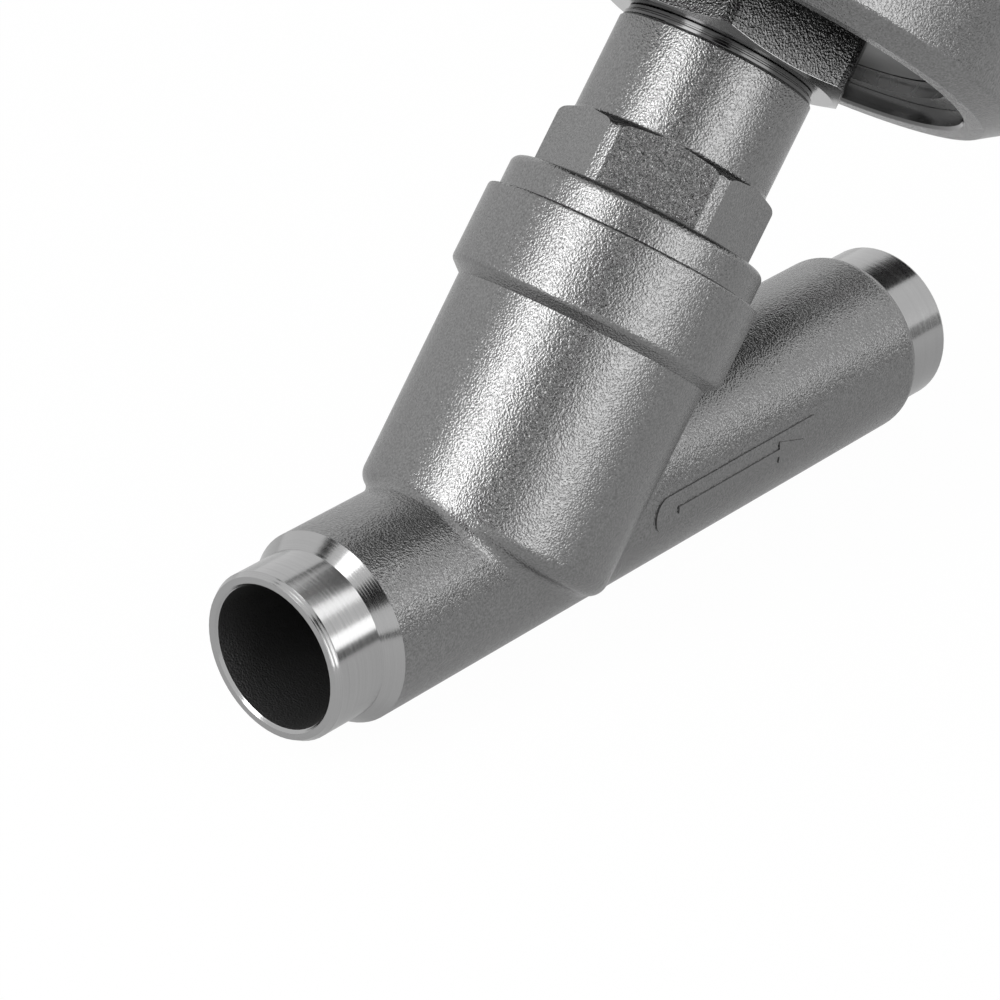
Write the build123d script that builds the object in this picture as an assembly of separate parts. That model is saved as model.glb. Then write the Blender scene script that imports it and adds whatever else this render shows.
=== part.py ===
from build123d import *
import os
from math import cos, radians, sin

os.makedirs("parts", exist_ok=True)

# Angle seat valve, DN15, with butt-weld ends and a single-acting piston actuator (spring closes).
#
# Frame: the origin is the centre of the inlet weld face, +X runs along the pipe to the outlet and +Z
# is up. The neck leans from the pipe towards the outlet in the XZ plane. Heights called "level" are
# distances along the neck axis from the point where it crosses the pipe axis. Millimetres throughout.

# ---------------------------------------------------------------- pipe run
run_length = 116.8  # weld face to weld face
run_od = 24.3  # cast outside of the run
tube_od = 21.3  # pipe that is welded on
tube_wall = 1.6
stub_length = 7.5  # weld face to the foot of the shoulder
shoulder_length = 2.1  # turned cone between stub and casting
bevel_length = 0.8
bevel_height = 0.44
bore_edge = 0.35  # broken inner edge of the weld face
neck_station = 35.1  # inlet face to the crossing of the two axes
neck_angle = 51.1  # neck axis above the pipe axis, degrees
far_shoulder_length = 0.7  # the outlet's shoulder is left as cast
far_shoulder_round = 1.9
marking_length = 33.4  # obround pad on the side of the run, with the flow arrow
marking_height = 4.9
marking_rise = 0.18
marking_station = 71.4  # inlet face to the middle of the pad
marking_tilt = 1.0  # middle of the pad above the horizontal plane, degrees
arrow_rise = 0.15
arrow_length = 25.0
arrow_head_length = 5.0
arrow_head_height = 3.0
arrow_shaft_height = 1.0
crotch_round = 2.0  # cast fillet between neck and run

# ---------------------------------------------------------------- neck of the body
neck_foot = 0.4  # level of the neck's flat foot
neck_foot_radius = 16.35
neck_top_radius = 16.55
neck_foot_round = 2.5
collar_radius = 18.1
collar_height = 10.2
collar_step = 1.5  # height of the cone under the collar
collar_round = 1.0
collar_top_round = 0.4
joint_level = 40.4  # face on which the bonnet's flange sits
chamber_radius = 13.2
neck_bore_radius = 15.05  # takes the bonnet's screwed end
screwed_length = 9.9  # length of that end

# ---------------------------------------------------------------- seat
seat_radius = 7.0
seat_level = 3.5  # top of the seat lip, where the seal rests
web_top = 2.0
web_thickness = 3.5
lip_land = 0.7
lip_foot = 2.2

# ---------------------------------------------------------------- bonnet
flange_radius = 16.9
flange_height = 4.2
flange_rise = 0.6  # the flange's top slopes up to the hexagon
flange_round = 1.1
flange_edge = 0.15
bonnet_flats = 25.8  # across the flats of the cast hexagon
bonnet_corner_radius = 14.45
bonnet_hex_turn = 34.0  # a corner's angle about the neck, from +Y
bonnet_hex_top = 12.6  # joint face to the top of the hexagon
bonnet_hex_slope = 0.7
bonnet_hex_round = 1.0
bonnet_hex_fillet = 0.6
bonnet_radius = 12.87
bonnet_length = 25.35  # joint face to the bonnet's shoulder
bonnet_edge = 0.3
gasket_thickness = 1.5
spigot_radius = 9.5  # carries the actuator
spigot_edge = 0.5

# ---------------------------------------------------------------- stem and packing
stem_radius = 5.0
stem_clearance = 0.04  # radial, where the stem runs in a bush
soft_clearance = 0.02  # radial, where the stem runs in a seal
lift = 8.0
guide_bush_radius = 7.0
guide_bush_length = 7.0
guide_bush_flange = 1.2
packing_radius = 8.0
packing_seat = 10.0  # bonnet's lower face to the packing's seat
adapter_height = 2.2
chevron_count = 5
chevron_pitch = 1.7
chevron_rise = 1.1
packing_spring_length = 8.0
packing_spring_wire = 1.0
packing_spring_turns = 3.5
fit_gap = 0.05  # radial, between parts that are slid together
face_gap = 0.03  # between stacked soft rings
gland_recess = 1.4  # spigot's end to the wiper's face
wiper_height = 2.6
cord_section = 1.8  # section of the small O-rings
gland_groove_inset = 3.0

# ---------------------------------------------------------------- plug
plug_radius = 10.5
plug_height = 6.5
plug_skirt = 0.9  # wall around the seal
plug_skirt_depth = 2.0
seal_thickness = 3.0
spindle_radius = 3.0  # stem's lower end, through plug and seal
clamp_radius = 6.2
clamp_thickness = 1.6
plug_nut_flats = 9.0
plug_nut_height = 4.0
spindle_end = 0.8  # thread past the nut

# ---------------------------------------------------------------- swivel between bonnet and actuator
washer_height = 1.35
washer_radius = 12.6
washer_upper_radius = 12.3
washer_groove = 0.2
washer_round = 0.15
swivel_clearance = 0.05
swivel_washer_thickness = 1.2
swivel_washer_radius = 13.5
snap_ring_thickness = 1.2
snap_ring_radius = 11.6
snap_groove_depth = 0.7
spigot_past_ring = 2.1
swivel_groove_inset = 2.6  # O-ring groove from each end of the base's bore

# ---------------------------------------------------------------- actuator base
base_flats = 31.0  # across the flats of the cast hexagon
base_corner_radius = 17.5
base_hex_turn = 1.0  # a corner's angle about the neck, from +Y
base_hex_height = 8.9
base_face_radius = 15.0  # turned flat under the hexagon
base_chamfer_angle = 19.0
plate_thickness = 8.0
plate_step_radius = 25.4
plate_step = 0.5
plate_clearance = 0.06
plate_groove_inset = 3.2
base_cord = 3.0

# ---------------------------------------------------------------- actuator cylinder
bore_radius = 30.0
rim_drop = 4.35  # rim below the end plate
rim_width = 3.0  # flat of the rim around the bore
flare_height = 2.15
wall_thickness = 6.0
wall_draft = 0.5
mouth_edge = 0.4
retaining_thickness = 1.7
retaining_width = 3.1
retaining_groove_depth = 1.6
retaining_lug_radius = 2.6
retaining_lug_hole = 1.1
retaining_opening = 26.0  # angle left open between the lugs, degrees
retaining_turn = 124.0  # middle of that opening about the neck, from +Y
chamber_height = 50.0  # end plate to the inside of the top
crown_thickness = 5.0
crown_round = 9.0
crown_inner_round = 3.0
port_radius = 5.72  # tapping size of the G1/4 air ports
port_depth = 9.0
port_boss_radius = 9.5
port_boss_reach = 6.0  # boss face past the wall
port_boss_round = 1.2
port_passage_radius = 2.4
port_turn = 90.0  # angle of both ports about the neck, from +Y
lower_port_above_plate = 3.4
upper_port_below_top = 12.0
indicator_boss_radius = 8.0
indicator_boss_height = 5.0
hub_radius = 7.0  # inside the crown: guides the rod and stops the stroke
stop_gap = 0.05

# ---------------------------------------------------------------- piston
piston_clearance = 0.08
piston_gap = 6.4  # end plate to the piston's rim, valve closed
piston_height = 14.0
piston_web = 5.0
piston_skirt = 5.5  # rim below the web
piston_wall = 1.42  # between the cups and the seal groove
piston_round = 1.0
piston_thread_radius = 4.0
piston_groove_depth = 3.0
lip_seal_height = 4.0
lip_seal_inset = 1.6
guide_ring_height = 2.6
guide_ring_depth = 1.4
guide_ring_inset = 1.8
piston_nut_flats = 13.0
piston_nut_height = 6.5
outer_spring_radius = 20.0
outer_spring_wire = 3.0
outer_spring_turns = 4.5
inner_spring_radius = 12.5
inner_spring_wire = 2.2
inner_spring_turns = 6.0

# ---------------------------------------------------------------- position indicator and vent
rod_radius = 3.0
rod_collar_radius = 6.0
rod_collar_height = 5.0
stem_end = 2.6  # thread past the piston nut
sleeve_radius = 4.4
sleeve_height = 3.4
cap_clearance = 0.1
cap_wall = 2.0
cap_headroom = 2.0
cap_skirt = 3.6
cap_round = 3.0
vent_hex_flats = 14.0
vent_hex_height = 4.0
vent_thread_length = 7.5
vent_nose_radius = 4.6
vent_nose_length = 7.0
vent_nose_round = 2.0

# ---------------------------------------------------------------- levels along the neck axis
run_radius = run_od / 2
tube_radius = tube_od / 2
flow_radius = tube_radius - tube_wall
web_bottom = web_top - web_thickness
collar_bottom = joint_level - collar_height
ledge_level = joint_level - screwed_length - gasket_thickness
bonnet_bottom = ledge_level + gasket_thickness
bonnet_top = joint_level + bonnet_length
base_bottom = bonnet_top + washer_height
plate_bottom = base_bottom + base_hex_height
plate_top = plate_bottom + plate_thickness
rim_level = plate_bottom - rim_drop
snap_level = plate_top + swivel_washer_thickness
rim_radius = bore_radius + rim_width
wall_radius = bore_radius + wall_thickness
piston_cup_radius = bore_radius - piston_clearance - piston_groove_depth - piston_wall
spigot_top = snap_level + snap_ring_thickness + spigot_past_ring
packing_level = bonnet_bottom + packing_seat
chevron_level = packing_level + adapter_height
top_adapter_level = chevron_level + chevron_count * chevron_pitch
packing_spring_level = top_adapter_level + adapter_height
gland_level = packing_spring_level + packing_spring_length
wiper_level = spigot_top - gland_recess - wiper_height
seal_top = seat_level + seal_thickness
plug_top = seat_level + plug_height + plug_skirt
clamp_level = seat_level - clamp_thickness
plug_nut_level = clamp_level - plug_nut_height
piston_bottom = plate_top + piston_gap
web_level = piston_bottom + piston_skirt
nut_level = web_level + piston_web
collar_level = nut_level + piston_nut_height
stop_level = collar_level + rod_collar_height + lift + stop_gap
chamber_top = plate_top + chamber_height
crown_level = chamber_top + crown_thickness
boss_top = crown_level + indicator_boss_height
sleeve_level = boss_top + cap_clearance
reach = 200.0  # longer than anything that it cuts

run_frame = Plane(origin=(0, 0, 0), x_dir=(0, 1, 0), z_dir=(1, 0, 0))
neck_frame = Plane(
    origin=(neck_station, 0, 0),
    x_dir=(0, 1, 0),
    z_dir=(cos(radians(neck_angle)), 0, sin(radians(neck_angle))),
)


# ---------------------------------------------------------------- shapes that repeat
def turned(outline, rounds=()):
    """Solid of revolution about Z from (radius, level) corners; rounds holds (corner, fillet radius)."""
    section = make_face(Polyline(*outline, close=True))
    for corner, radius in rounds:
        vertex = section.vertices().sort_by_distance((*outline[corner], 0))[0]
        section = fillet(vertex, radius)
    return revolve(Plane.XZ * section, Axis.Z)


def ring(inner, outer, bottom, top):
    """Plain ring, or a disc where the inner radius is 0."""
    return turned([(inner, bottom), (outer, bottom), (outer, top), (inner, top)])


def cord_ring(mean_radius, section, level):
    """O-ring whose middle lies at the level."""
    return Pos(0, 0, level) * Torus(mean_radius, section / 2)


def hexagon(flats, corner_radius, bottom, top, turn=0.0):
    """Hexagonal prism with its corners turned down to corner_radius."""
    outline = RegularPolygon(flats / 2, 6, major_radius=False, rotation=turn)
    prism = Pos(0, 0, bottom) * extrude(outline, top - bottom)
    return prism & ring(0, corner_radius, bottom, top)


def spring(mean_radius, wire, turns, bottom, length):
    """Coil spring with ends ground flat."""
    path = Helix(pitch=(length - wire / 2) / turns, height=length - wire / 2, radius=mean_radius)
    section = Plane(origin=path @ 0, z_dir=path % 0) * Circle(wire / 2)
    coil = Pos(0, 0, wire / 4) * sweep(section, path=path)
    return Pos(0, 0, bottom) * (coil & ring(0, mean_radius + wire, 0, length))


def groove(inner, outer, middle, height):
    """Ring to cut away, centred on a level."""
    return ring(inner, outer, middle - height / 2, middle + height / 2)


# ---------------------------------------------------------------- body
def make_body():
    """Casting: run with two turned weld stubs, neck with its collar, web with the seat."""
    far = run_length
    run = run_frame * turned(
        [
            (0, 0),
            (tube_radius - bevel_height, 0),
            (tube_radius, bevel_length),
            (tube_radius, stub_length),
            (run_radius, stub_length + shoulder_length),
            (run_radius, far - stub_length - far_shoulder_length),
            (tube_radius, far - stub_length),
            (tube_radius, far - bevel_length / 2),
            (tube_radius - bevel_height / 2, far),
            (0, far),
        ],
        rounds=[(5, far_shoulder_round)],
    )
    neck = neck_frame * turned(
        [(0, neck_foot), (neck_foot_radius, neck_foot), (neck_top_radius, joint_level), (0, joint_level)],
        rounds=[(1, neck_foot_round)],
    )
    outside = run + neck
    crotch = outside.edges().filter_by(lambda edge: edge.geom_type not in (GeomType.CIRCLE, GeomType.LINE))
    outside = fillet(crotch, crotch_round)
    collar_foot = collar_bottom - collar_step
    outside += neck_frame * turned(
        [
            (0, collar_foot - collar_step),
            (neck_foot_radius, collar_foot - collar_step),
            (neck_foot_radius, collar_foot),
            (collar_radius, collar_bottom),
            (collar_radius, joint_level),
            (0, joint_level),
        ],
        rounds=[(3, collar_round), (4, collar_top_round)],
    )
    outside += flow_mark()

    flow = run_frame * ring(0, flow_radius, -1, run_length + 1)
    inlet_side = neck_frame * ring(0, reach, -reach, web_bottom)
    outlet_side = neck_frame * ring(0, reach, web_top, reach)
    chamber = neck_frame * ring(0, chamber_radius, web_top, joint_level)
    bonnet_hole = neck_frame * ring(0, neck_bore_radius, ledge_level, joint_level + 1)
    seat_hole = neck_frame * ring(0, seat_radius, web_bottom - 1, seat_level + 1)
    lip = neck_frame * turned(
        [
            (seat_radius - 0.5, web_top - 0.5),
            (seat_radius + lip_foot, web_top - 0.5),
            (seat_radius + lip_foot, web_top),
            (seat_radius + lip_land, seat_level),
            (seat_radius - 0.5, seat_level),
        ]
    )
    edge_cone = turned(
        [(0, 0), (flow_radius + bore_edge, 0), (flow_radius, bore_edge), (0, bore_edge)]
    )
    body = outside - (flow & inlet_side) - (flow & outlet_side) - chamber - bonnet_hole
    body = body + lip - seat_hole
    body = body - run_frame * edge_cone
    body = body - run_frame * Pos(0, 0, run_length) * mirror(edge_cone, Plane.XY)
    return body


def flow_mark():
    """Raised obround pad on the -Y side of the run, with an arrow in the flow's direction."""
    tilt = radians(marking_tilt)
    side = Plane(origin=(marking_station, 0, 0), x_dir=(1, 0, 0), z_dir=(0, -cos(tilt), sin(tilt)))
    pad_radius = run_radius + marking_rise
    pad = side * extrude(SlotOverall(marking_length, marking_height), run_od)
    pad &= run_frame * ring(run_radius - 1, pad_radius, 0, run_length)
    shaft_end = arrow_length / 2 - arrow_head_length
    arrow = make_face(
        Polyline(
            (-arrow_length / 2, -arrow_shaft_height / 2),
            (shaft_end, -arrow_shaft_height / 2),
            (shaft_end, -arrow_head_height / 2),
            (arrow_length / 2, 0),
            (shaft_end, arrow_head_height / 2),
            (shaft_end, arrow_shaft_height / 2),
            (-arrow_length / 2, arrow_shaft_height / 2),
            close=True,
        )
    )
    relief = side * extrude(arrow, run_od)
    relief &= run_frame * ring(run_radius - 1, pad_radius + arrow_rise, 0, run_length)
    return pad + relief


def make_body_gasket():
    """Flat ring between the neck's ledge and the bonnet's lower face."""
    return neck_frame * ring(chamber_radius, neck_bore_radius - fit_gap, ledge_level, bonnet_bottom)


# ---------------------------------------------------------------- bonnet and packing
def make_bonnet():
    """Cast hexagon and tube on a flange, with a screwed end below and the actuator's spigot above."""
    flange_top = joint_level + flange_height
    hex_top = joint_level + bonnet_hex_top
    flange = turned(
        [
            (0, joint_level),
            (flange_radius - flange_edge, joint_level),
            (flange_radius, joint_level + flange_edge),
            (flange_radius, flange_top),
            (bonnet_flats / 2, flange_top + flange_rise),
            (0, flange_top + flange_rise),
        ],
        rounds=[(3, flange_round)],
    )
    shaft = turned(
        [
            (0, joint_level),
            (bonnet_corner_radius, joint_level),
            (bonnet_corner_radius, hex_top - bonnet_hex_slope),
            (bonnet_radius, hex_top),
            (bonnet_radius, bonnet_top - bonnet_edge),
            (bonnet_radius - bonnet_edge, bonnet_top),
            (0, bonnet_top),
        ],
        rounds=[(2, bonnet_hex_round), (3, bonnet_hex_fillet)],
    )
    beside_flats = ring(0, bonnet_corner_radius + 1, joint_level, bonnet_top) - hexagon(
        bonnet_flats, bonnet_corner_radius + 1, joint_level, bonnet_top, bonnet_hex_turn
    )
    shaft -= beside_flats
    screwed = ring(0, neck_bore_radius - fit_gap, bonnet_bottom, joint_level)
    spigot = turned(
        [
            (0, bonnet_top),
            (spigot_radius, bonnet_top),
            (spigot_radius, spigot_top - spigot_edge),
            (spigot_radius - spigot_edge, spigot_top),
            (0, spigot_top),
        ]
    )
    solid = flange + shaft + screwed + spigot
    solid -= ring(0, stem_radius + 1, bonnet_bottom, packing_level)
    solid -= ring(0, guide_bush_radius, bonnet_bottom, bonnet_bottom + guide_bush_length)
    solid -= ring(0, packing_radius, packing_level, spigot_top)
    solid -= ring(spigot_radius - snap_groove_depth, spigot_radius + 1, snap_level, snap_level + snap_ring_thickness)
    return neck_frame * solid


def make_guide_bush():
    """Flanged bush that guides the stem just above the plug."""
    bore = stem_radius + stem_clearance
    top = bonnet_bottom + guide_bush_length
    return neck_frame * turned(
        [
            (bore, bonnet_bottom - guide_bush_flange),
            (guide_bush_radius + guide_bush_flange, bonnet_bottom - guide_bush_flange),
            (guide_bush_radius + guide_bush_flange, bonnet_bottom),
            (guide_bush_radius, bonnet_bottom),
            (guide_bush_radius, top),
            (bore, top),
        ]
    )


def chevron_line(level):
    """Inner edge, ridge and outer edge of a V-shaped packing surface."""
    inner = stem_radius + soft_clearance
    outer = packing_radius - soft_clearance
    return [(inner, level), ((inner + outer) / 2, level + chevron_rise), (outer, level)]


def make_packing_bottom_ring():
    """Adapter with a ridge that spreads the first chevron."""
    inner, ridge, outer = chevron_line(chevron_level - chevron_rise - face_gap)
    return neck_frame * turned([(inner[0], packing_level), (outer[0], packing_level), outer, ridge, inner])


def make_packing_chevrons():
    """Stack of equal V-rings."""
    rings = []
    for number in range(chevron_count):
        level = chevron_level - chevron_rise + number * chevron_pitch
        lower = chevron_line(level)
        upper = chevron_line(level + chevron_pitch - face_gap)
        rings.append(neck_frame * turned(lower + upper[::-1]))
    return Compound(children=rings)


def make_packing_top_ring():
    """Adapter that closes the stack and carries the packing spring."""
    inner, ridge, outer = chevron_line(top_adapter_level - chevron_rise)
    top = packing_spring_level
    return neck_frame * turned([inner, ridge, outer, (outer[0], top), (inner[0], top)])


def make_packing_spring():
    """Spring that keeps the packing loaded as it wears."""
    middle = (stem_radius + packing_radius) / 2
    return neck_frame * spring(
        middle, packing_spring_wire, packing_spring_turns, packing_spring_level, packing_spring_length
    )


def gland_groove_levels():
    """Levels of the stem's two O-rings in the gland bush."""
    return [gland_level + gland_groove_inset, wiper_level - gland_groove_inset]


def make_gland_bush():
    """Upper guide of the stem, screwed into the spigot (thread left out), with two O-ring grooves inside."""
    solid = ring(stem_radius + stem_clearance, packing_radius - fit_gap, gland_level, wiper_level)
    for level in gland_groove_levels():
        solid -= groove(stem_radius - 1, stem_radius + cord_section, level, cord_section * 1.1)
    return neck_frame * solid


def make_gland_orings():
    """O-rings that keep the actuator's air out of the packing."""
    mean = stem_radius + soft_clearance + cord_section / 2
    return Compound(
        children=[neck_frame * cord_ring(mean, cord_section - 0.1, level) for level in gland_groove_levels()]
    )


def make_stem_wiper():
    """Wiper ring at the spigot's mouth."""
    inner = stem_radius + soft_clearance
    outer = packing_radius - fit_gap
    lip = (inner + outer) / 2
    top = wiper_level + wiper_height
    return neck_frame * turned(
        [(inner, wiper_level), (outer, wiper_level), (outer, top), (lip, top - 0.8), (inner, top)]
    )


# ---------------------------------------------------------------- stem and plug
def make_stem():
    """Rod from the plug's nut to the indicator, shouldered at plug and piston."""
    end = collar_level + stem_end
    return neck_frame * turned(
        [
            (0, plug_nut_level - spindle_end),
            (spindle_radius - 0.4, plug_nut_level - spindle_end),
            (spindle_radius, plug_nut_level - spindle_end + 0.4),
            (spindle_radius, plug_top),
            (stem_radius, plug_top),
            (stem_radius, web_level),
            (piston_thread_radius, web_level),
            (piston_thread_radius, end - 0.5),
            (piston_thread_radius - 0.5, end),
            (0, end),
        ]
    )


def make_plug_disc():
    """Turned disc with a skirt that holds the seal ring."""
    shoulder = plug_top - 1.5
    return neck_frame * turned(
        [
            (spindle_radius, seal_top),
            (plug_radius - plug_skirt, seal_top),
            (plug_radius - plug_skirt, seal_top - plug_skirt_depth),
            (plug_radius, seal_top - plug_skirt_depth),
            (plug_radius, shoulder - 1.0),
            (stem_radius + 1.8, shoulder),
            (stem_radius + 1.0, plug_top),
            (spindle_radius, plug_top),
        ],
        rounds=[(4, 0.8)],
    )


def make_plug_seal():
    """Flat seal ring that closes on the seat lip."""
    return neck_frame * ring(spindle_radius, plug_radius - plug_skirt, seat_level, seal_top)


def make_plug_clamp():
    """Washer that clamps the seal ring from below and enters the seat."""
    return neck_frame * turned(
        [
            (spindle_radius, clamp_level),
            (clamp_radius - 0.8, clamp_level),
            (clamp_radius, clamp_level + 0.8),
            (clamp_radius, seat_level),
            (spindle_radius, seat_level),
        ]
    )


def make_plug_nut():
    """Hexagon nut at the stem's lower end."""
    return neck_frame * plain_nut(plug_nut_flats, plug_nut_level, plug_nut_height, spindle_radius)


def plain_nut(flats, bottom, height, hole):
    """Hexagon nut with both ends chamfered."""
    corner = flats / 2 / cos(radians(30))
    chamfer = corner - flats / 2
    top = bottom + height
    turned_corners = turned(
        [
            (0, bottom),
            (flats / 2, bottom),
            (corner, bottom + chamfer / 2),
            (corner, top - chamfer / 2),
            (flats / 2, top),
            (0, top),
        ]
    )
    return (hexagon(flats, corner + 1, bottom, top) & turned_corners) - ring(0, hole, bottom, top)


# ---------------------------------------------------------------- swivel
def make_gland_ring():
    """Turned bearing ring between the bonnet's shoulder and the actuator base."""
    middle = (bonnet_top + base_bottom) / 2
    waist = washer_upper_radius - washer_groove
    return neck_frame * turned(
        [
            (spigot_radius + fit_gap, bonnet_top),
            (washer_radius, bonnet_top),
            (washer_radius, middle - washer_groove / 2),
            (waist, middle - washer_groove / 2),
            (waist, middle + washer_groove / 2),
            (washer_upper_radius, middle + washer_groove / 2),
            (washer_upper_radius, base_bottom - face_gap),
            (spigot_radius + fit_gap, base_bottom - face_gap),
        ],
        rounds=[(1, washer_round), (2, washer_round), (5, washer_round / 2), (6, washer_round)],
    )


def make_swivel_washer():
    """Thrust washer on top of the end plate."""
    return neck_frame * ring(spigot_radius + fit_gap, swivel_washer_radius, plate_top + face_gap, snap_level)


def make_swivel_snap_ring():
    """Retaining ring in the spigot's groove, which holds the actuator on the bonnet."""
    inner = spigot_radius - snap_groove_depth
    solid = ring(inner, snap_ring_radius, snap_level, snap_level + snap_ring_thickness)
    gap = Pos(snap_ring_radius, 0, snap_level + snap_ring_thickness / 2) * Box(
        snap_ring_radius, spigot_radius / 2, 2 * snap_ring_thickness
    )
    return neck_frame * (solid - gap)


def swivel_groove_levels():
    """Levels of the two O-rings between spigot and base."""
    return [base_bottom + swivel_groove_inset, plate_top - swivel_groove_inset]


def make_swivel_orings():
    """O-rings on which the actuator turns."""
    mean = spigot_radius + soft_clearance + cord_section / 2
    return Compound(
        children=[neck_frame * cord_ring(mean, cord_section - 0.1, level) for level in swivel_groove_levels()]
    )


# ---------------------------------------------------------------- actuator base
def make_actuator_base():
    """Cast hexagon under a turned end plate that closes the cylinder from below."""
    drop = (base_corner_radius - base_face_radius) * sin(radians(base_chamfer_angle))
    corners = turned(
        [
            (0, base_bottom),
            (base_face_radius, base_bottom),
            (base_corner_radius, base_bottom + drop),
            (base_corner_radius, plate_bottom),
            (0, plate_bottom),
        ]
    )
    plate_radius = bore_radius - plate_clearance
    plate = turned(
        [
            (0, plate_bottom),
            (plate_step_radius, plate_bottom),
            (plate_step_radius, plate_bottom + plate_step),
            (plate_step_radius + plate_step, plate_bottom + plate_step),
            (plate_step_radius + plate_step, plate_bottom),
            (plate_radius, plate_bottom),
            (plate_radius, plate_top),
            (0, plate_top),
        ]
    )
    solid = (hexagon(base_flats, base_corner_radius, base_bottom, plate_bottom, base_hex_turn) & corners) + plate
    solid -= ring(0, spigot_radius + swivel_clearance, base_bottom, plate_top)
    for level in swivel_groove_levels():
        solid -= groove(0, spigot_radius + cord_section, level, cord_section * 1.1)
    groove_level = plate_top - plate_groove_inset
    solid -= groove(bore_radius - base_cord, bore_radius + 1, groove_level, base_cord * 1.1)
    return neck_frame * solid


def make_base_oring():
    """O-ring of the end plate in the cylinder's bore."""
    section = base_cord - 0.1
    return neck_frame * cord_ring(bore_radius - base_cord / 2, section, plate_top - plate_groove_inset)


def make_retaining_ring():
    """Internal retaining ring with two lugs, which holds the end plate in the cylinder."""
    bottom = plate_bottom - retaining_thickness
    outer = bore_radius + retaining_groove_depth - 2 * fit_gap
    inner = bore_radius - retaining_width
    solid = ring(inner, outer, bottom, plate_bottom)
    half = radians(retaining_opening / 2)
    wedge = make_face(
        Polyline((0, 0), (reach * cos(half), -reach * sin(half)), (reach * cos(half), reach * sin(half)), close=True)
    )
    solid -= Pos(0, 0, bottom - 1) * extrude(wedge, retaining_thickness + 2)
    lug_centre = inner - retaining_lug_radius / 4
    for side in (-1, 1):
        angle = side * (retaining_opening / 2 + 5.0)
        place = Rot(0, 0, angle) * Pos(lug_centre, 0, bottom + retaining_thickness / 2)
        solid += place * Cylinder(retaining_lug_radius, retaining_thickness)
    for side in (-1, 1):
        angle = side * (retaining_opening / 2 + 5.0)
        place = Rot(0, 0, angle) * Pos(lug_centre, 0, bottom + retaining_thickness / 2)
        solid -= place * Cylinder(retaining_lug_hole, retaining_thickness + 1)
    return neck_frame * Rot(0, 0, retaining_turn) * solid


# ---------------------------------------------------------------- actuator cylinder
def port_place(level):
    """Frame of an air port: its Z points outwards, its origin is on the neck axis."""
    turn = radians(port_turn)
    return Plane(origin=(0, 0, level), x_dir=(0, 0, 1), z_dir=(cos(turn), sin(turn), 0))


def make_actuator_cylinder():
    """Cast pot, open below, with two port bosses and the indicator's boss on its crown."""
    top_radius = wall_radius - wall_draft
    pot = turned(
        [
            (0, rim_level),
            (rim_radius, rim_level),
            (wall_radius, rim_level + flare_height),
            (top_radius, crown_level),
            (0, crown_level),
        ],
        rounds=[(2, collar_round), (3, crown_round)],
    )
    boss_face = wall_radius + port_boss_reach
    port_levels = [plate_top + lower_port_above_plate, chamber_top - upper_port_below_top]
    for level in port_levels:
        boss = turned(
            [(0, 0), (port_boss_radius, 0), (port_boss_radius, boss_face), (0, boss_face)],
            rounds=[(2, port_boss_round)],
        )
        pot += port_place(level) * boss
    pot += turned(
        [
            (0, crown_level - 1),
            (indicator_boss_radius, crown_level - 1),
            (indicator_boss_radius, boss_top),
            (0, boss_top),
        ],
        rounds=[(2, spigot_edge)],
    )
    inside = turned(
        [
            (0, rim_level),
            (bore_radius + mouth_edge, rim_level),
            (bore_radius, rim_level + mouth_edge),
            (bore_radius, chamber_top),
            (hub_radius, chamber_top),
            (hub_radius, stop_level),
            (0, stop_level),
        ],
        rounds=[(3, crown_inner_round), (4, piston_round)],
    )
    pot -= inside
    pot -= ring(
        bore_radius - 1, bore_radius + retaining_groove_depth, plate_bottom - retaining_thickness - fit_gap, plate_bottom
    )
    for level in port_levels:
        pot -= port_place(level) * ring(0, port_radius, boss_face - port_depth, boss_face + 1)
        pot -= port_place(level) * ring(0, port_passage_radius, bore_radius - 1, boss_face)
    pot -= ring(0, rod_radius + fit_gap, stop_level - 1, boss_top + 1)
    pot -= groove(0, rod_radius + cord_section, crown_level, cord_section * 1.1)
    return neck_frame * pot


def make_rod_oring():
    """Seal of the indicator rod in the crown."""
    mean = rod_radius + soft_clearance + cord_section / 2
    return neck_frame * cord_ring(mean, cord_section - 0.1, crown_level)


# ---------------------------------------------------------------- piston and springs
def piston_outline_radius():
    """Outer radius of the piston in its bore."""
    return bore_radius - piston_clearance


def lip_seal_level():
    """Lower edge of the piston's seal groove."""
    return piston_bottom + piston_height - lip_seal_inset - lip_seal_height


def make_piston():
    """Turned piston with a web between two cups and grooves for seal and guide ring."""
    outer = piston_outline_radius()
    top = piston_bottom + piston_height
    solid = turned(
        [
            (piston_thread_radius + fit_gap, web_level),
            (piston_cup_radius, web_level),
            (piston_cup_radius, piston_bottom),
            (outer, piston_bottom),
            (outer, top),
            (piston_cup_radius, top),
            (piston_cup_radius, nut_level),
            (piston_thread_radius + fit_gap, nut_level),
        ],
        rounds=[(1, piston_round), (6, piston_round)],
    )
    seal_base = outer - piston_groove_depth
    solid -= ring(seal_base, bore_radius, lip_seal_level(), lip_seal_level() + lip_seal_height)
    guide_level = piston_bottom + guide_ring_inset
    solid -= ring(outer - guide_ring_depth, bore_radius, guide_level, guide_level + guide_ring_height)
    return neck_frame * solid


def make_piston_seal():
    """U-shaped lip seal, open towards the air side below."""
    inner = piston_outline_radius() - piston_groove_depth
    outer = bore_radius - soft_clearance
    middle = (inner + outer) / 2
    bottom = lip_seal_level() + face_gap
    top = lip_seal_level() + lip_seal_height - face_gap
    return neck_frame * turned(
        [
            (inner, bottom),
            (inner + 0.7, bottom),
            (middle, bottom + 1.8),
            (outer - 0.7, bottom),
            (outer, bottom),
            (outer, bottom + 1.0),
            (outer - 0.3, top),
            (inner, top),
        ]
    )


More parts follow.
